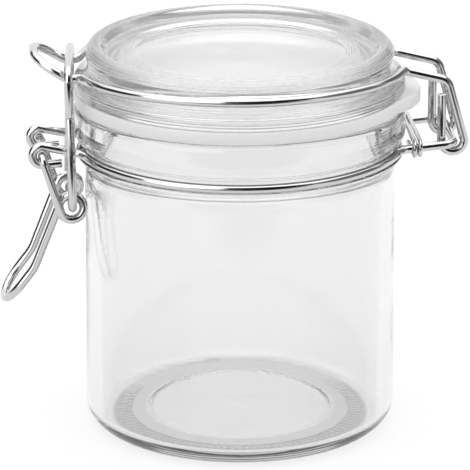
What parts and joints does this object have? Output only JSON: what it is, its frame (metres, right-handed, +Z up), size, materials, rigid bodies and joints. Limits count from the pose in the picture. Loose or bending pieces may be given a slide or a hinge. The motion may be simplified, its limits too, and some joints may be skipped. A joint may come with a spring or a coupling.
{
  "type": "clip top jar",
  "caption": "Clear round glass jar with a glass lid held shut on a gasket by a sprung wire clip, hinged at the back by wire hooks on a bracket.",
  "frame": {"origin": "the middle of the whole footprint at the level of the surface that the jar stands on; the jar's own axis is 1.8 mm from it, towards the hinge", "axes": "+Z up along the jar's axis, +X towards the lid's hinge, the clip at -X, +Y along the hinge pin away from the camera"},
  "size_m": [0.1052, 0.0746, 0.0888],
  "materials": {
    "clear_glass": "clear pressed glass, colourless, slightly wavy",
    "pale_rubber": "pale translucent rubber, satin",
    "bright_wire": "bright plated steel wire, polished"
  },
  "bodies": {
    "jar": {"jar_body": "clear_glass", "neck_ring": "bright_wire", "hinge_tie": "bright_wire"},
    "lid": {"lid_glass": "clear_glass", "gasket": "pale_rubber", "lid_wire": "bright_wire"},
    "lever": {"lever": "bright_wire"},
    "bail": {"bail": "bright_wire"}
  },
  "joints": [
    {"name": "lid_hinge", "type": "hinge", "parent": "jar", "child": "lid", "pos_m": [0.049, 0, 0.0669], "axis": [0, 1, 0], "range_deg": [0, 110]},
    {"name": "lever_pivot", "type": "hinge", "parent": "jar", "child": "lever", "pos_m": [-0.043, 0, 0.0655], "axis": [0, 1, 0], "range_deg": [0, 80]},
    {"name": "bail_pivot", "type": "hinge", "parent": "lever", "child": "bail", "pos_m": [-0.0365, 0, 0.0539], "axis": [0, 1, 0], "range_deg": [-135, 0]}
  ],
  "couplings": [
    {"joint": "lever_pivot", "follows": "lid_hinge", "ratio": 0.7},
    {"joint": "bail_pivot", "follows": "lid_hinge", "ratio": -1.2}
  ]
}
